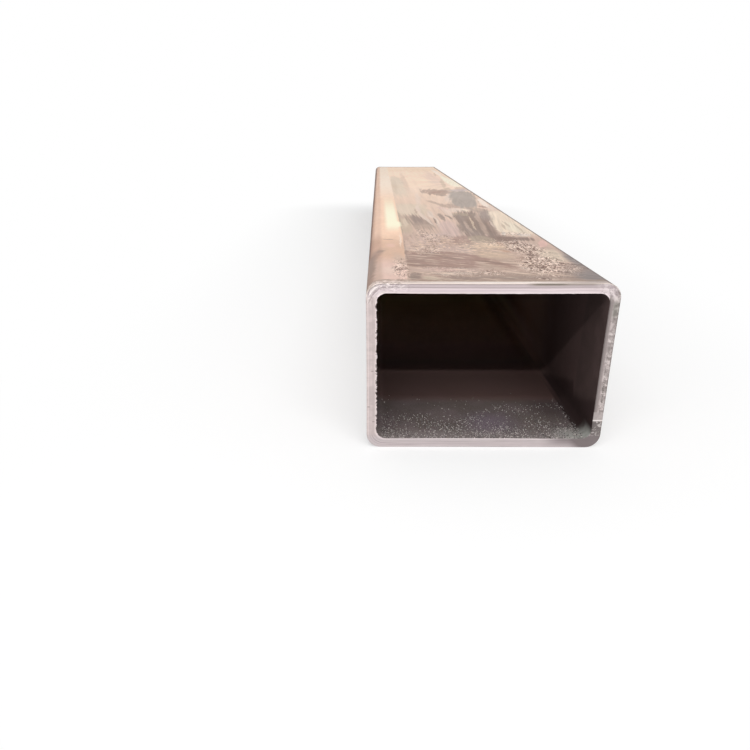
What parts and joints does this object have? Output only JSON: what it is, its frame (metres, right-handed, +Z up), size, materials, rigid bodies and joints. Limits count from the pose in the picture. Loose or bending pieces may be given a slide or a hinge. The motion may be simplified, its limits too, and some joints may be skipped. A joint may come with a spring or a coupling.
{
  "type": "rectangular steel tube",
  "caption": "Length of hot finished rectangular steel hollow section with rolled corners and square sawn ends, lying on a wide face.",
  "frame": {"origin": "middle of the bottom face, halfway along the length", "axes": "+X across the width, +Y along the length, +Z up; the tube lies on a wide face"},
  "size_m": [0.35, 3, 0.25],
  "materials": {
    "mill_scaled_steel": "bare hot finished steel with thin mottled mill scale and light rust, sawn bright on the end rings"
  },
  "bodies": {
    "root": {"tube": "mill_scaled_steel"}
  },
  "joints": []
}
